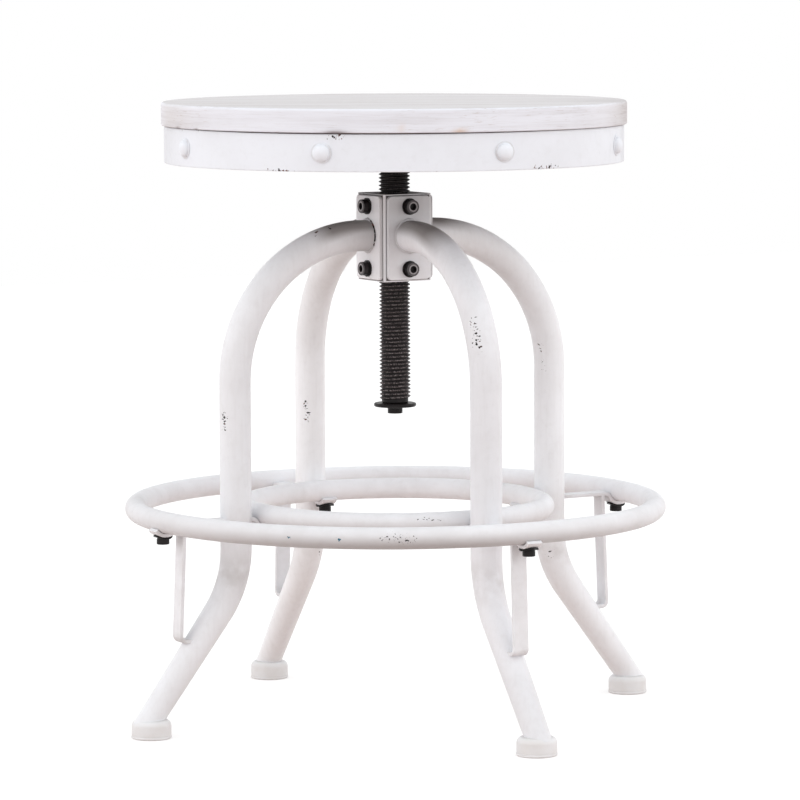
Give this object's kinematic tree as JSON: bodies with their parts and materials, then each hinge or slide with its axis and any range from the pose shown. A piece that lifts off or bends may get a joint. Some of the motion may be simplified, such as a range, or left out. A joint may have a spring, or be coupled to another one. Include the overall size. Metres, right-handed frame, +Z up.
{
  "type": "swivel stool",
  "caption": "Backless stool with a round wooden seat on a lift screw, bent tube legs bolted to a nut block, and foot rings inside and outside the legs.",
  "frame": {"origin": "on the floor, on the axis of the lift screw", "axes": "+Z up along the lift screw; the legs lie along +X, +Y, -X and -Y"},
  "size_m": [0.4744, 0.4744, 0.497],
  "materials": {
    "seat_wood": "whitewashed, satin",
    "white_paint": "worn white paint, satin",
    "black_steel": "black oxide, satin",
    "foot_plastic": "matt off-white"
  },
  "bodies": {
    "base": {"nut_block": "white_paint", "outer_foot_ring": "white_paint", "inner_foot_ring": "white_paint", "plate_screws": "black_steel", "plate_washers": "black_steel", "ring_bolts": "black_steel", "saddle_washers": "black_steel", "leg_plate_right": "white_paint", "leg_right": "white_paint", "foot_right": "foot_plastic", "ring_bracket_right": "white_paint", "bracket_strut_right": "white_paint", "leg_plate_rear": "white_paint", "leg_rear": "white_paint", "foot_rear": "foot_plastic", "ring_bracket_rear": "white_paint", "bracket_strut_rear": "white_paint", "leg_plate_left": "white_paint", "leg_left": "white_paint", "foot_left": "foot_plastic", "ring_bracket_left": "white_paint", "bracket_strut_left": "white_paint", "leg_plate_front": "white_paint", "leg_front": "white_paint", "foot_front": "foot_plastic", "ring_bracket_front": "white_paint", "bracket_strut_front": "white_paint"},
    "carriage": {"stop_washer": "black_steel"},
    "seat": {"wood_seat": "seat_wood", "seat_band": "white_paint", "band_rivets": "white_paint", "seat_plate": "black_steel", "seat_screws": "black_steel", "lift_screw": "black_steel", "stop_bolt": "black_steel"}
  },
  "joints": [
    {"name": "seat_lift", "type": "slide", "parent": "base", "child": "carriage", "axis": [0, 0, 1], "range_m": [-0.0246, 0.0986]},
    {"name": "seat_turn", "type": "hinge", "parent": "carriage", "child": "seat", "pos_m": [0, 0, 0.4], "axis": [0, 0, 1], "range_deg": [-2940, 11820]}
  ],
  "couplings": [
    {"joint": "seat_lift", "follows": "seat_turn", "m_per_rad": 0.00047746}
  ]
}
